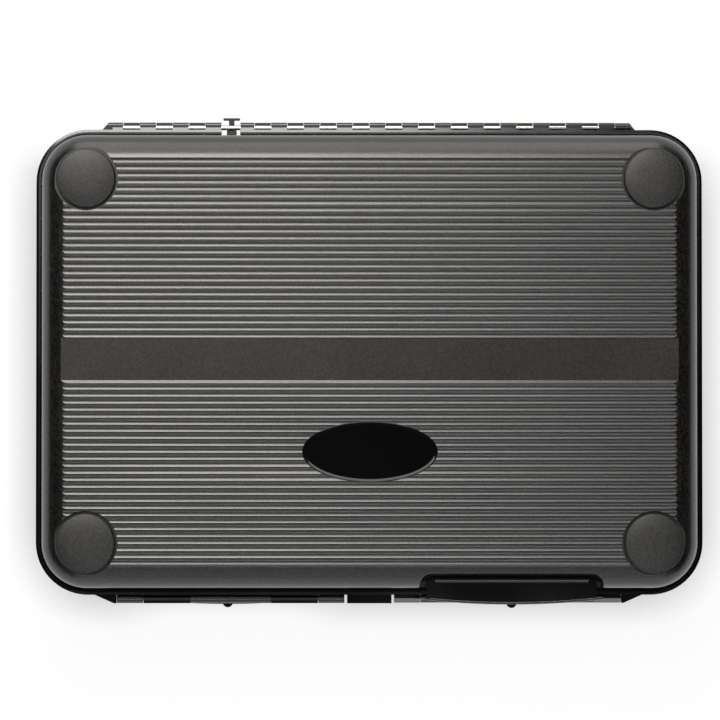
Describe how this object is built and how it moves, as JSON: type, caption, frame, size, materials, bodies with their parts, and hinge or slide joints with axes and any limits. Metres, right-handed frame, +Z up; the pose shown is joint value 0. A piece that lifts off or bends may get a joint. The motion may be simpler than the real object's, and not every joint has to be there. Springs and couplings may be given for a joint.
{
  "type": "fly box",
  "caption": "Flat two-sided waterproof case with fluted covers, a piano hinge along one side, two opposed snap latches, rubber feet and slit foam rows inside for fishing flies.",
  "frame": {"origin": "centre of the footprint, at the underside of the base's feet", "axes": "+X along the hinge to the right, +Y towards the hinge, +Z up through the lid"},
  "size_m": [0.27, 0.1992, 0.06],
  "materials": {
    "cover_charcoal": "satin charcoal ABS with fine grain",
    "rim_black": "moulded black ABS",
    "lever_black": "moulded black acetal",
    "lug_black": "moulded black acetal",
    "pin_steel": "bright drawn stainless steel",
    "foot_rubber": "matte black rubber",
    "gasket_rubber": "smooth silicone cord",
    "badge_black": "gloss black, bare",
    "insert_grey": "fine grained grey ABS",
    "foam": "closed-cell foam with slits"
  },
  "bodies": {
    "base": {"base_cover": "cover_charcoal", "base_rim": "rim_black", "base_latch_pin": "pin_steel", "base_insert": "insert_grey", "base_foot_1": "foot_rubber", "base_foot_2": "foot_rubber", "base_foot_3": "foot_rubber", "base_foot_4": "foot_rubber", "base_foam_1": "foam", "base_foam_2": "foam", "base_foam_3": "foam", "base_foam_4": "foam", "base_foam_5": "foam", "base_foam_6": "foam", "base_foam_7": "foam", "base_foam_8": "foam", "base_foam_9": "foam", "rim_gasket": "gasket_rubber", "hinge_pin": "pin_steel", "lanyard_lug": "lug_black"},
    "lid": {"lid_cover": "cover_charcoal", "lid_rim": "rim_black", "lid_latch_pin": "pin_steel", "lid_insert": "insert_grey", "lid_foot_1": "foot_rubber", "lid_foot_2": "foot_rubber", "lid_foot_3": "foot_rubber", "lid_foot_4": "foot_rubber", "lid_foam_1": "foam", "lid_foam_2": "foam", "lid_foam_3": "foam", "lid_foam_4": "foam", "lid_foam_5": "foam", "lid_foam_6": "foam", "lid_foam_7": "foam", "lid_foam_8": "foam", "lid_foam_9": "foam", "badge_plate": "badge_black"},
    "base_latch": {"base_latch_lever": "lever_black"},
    "lid_latch": {"lid_latch_lever": "lever_black"}
  },
  "joints": [
    {"name": "lid_hinge", "type": "hinge", "parent": "base", "child": "lid", "pos_m": [0, 0.0956, 0.03], "axis": [-1, 0, 0], "range_deg": [0, 180]},
    {"name": "base_latch_hinge", "type": "hinge", "parent": "base", "child": "base_latch", "pos_m": [0.0562, -0.0958, 0.0273], "axis": [1, 0, 0], "range_deg": [0, 100]},
    {"name": "lid_latch_hinge", "type": "hinge", "parent": "lid", "child": "lid_latch", "pos_m": [-0.0562, -0.0958, 0.0327], "axis": [-1, 0, 0], "range_deg": [0, 100]}
  ]
}
